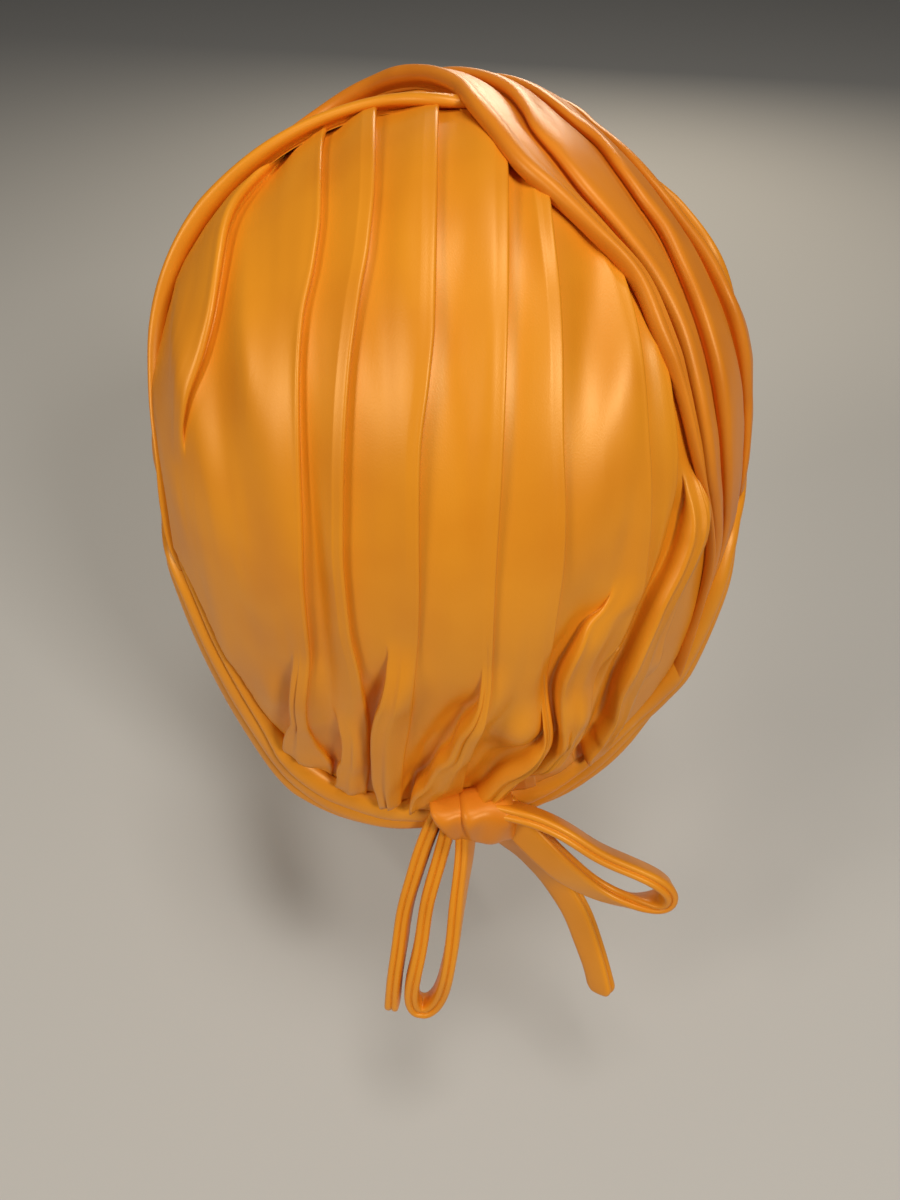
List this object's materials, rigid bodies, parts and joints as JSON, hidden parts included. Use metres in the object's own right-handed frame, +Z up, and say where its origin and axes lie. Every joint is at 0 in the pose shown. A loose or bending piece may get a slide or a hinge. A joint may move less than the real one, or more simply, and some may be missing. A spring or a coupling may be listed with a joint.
{
  "type": "pleated turban hat",
  "caption": "Pleated satin turban hat with folded swaths crossing on the top, a rolled rim band and a tied bow at the nape.",
  "frame": {"origin": "centre of the head opening on the head's upright centre line, level with the forehead edge", "axes": "+X to the wearer's right, +Y forward, +Z up out of the crown"},
  "size_m": [0.1766, 0.2428, 0.2466],
  "materials": {
    "satin": "orange satin with a soft sheen",
    "satin_deep": "orange satin, a little redder"
  },
  "bodies": {
    "root": {"crown": "satin", "left_drape": "satin", "right_drape": "satin_deep", "rim_band": "satin", "knot": "satin_deep", "left_loop": "satin", "left_tail": "satin", "right_loop": "satin", "right_tail": "satin"}
  },
  "joints": []
}
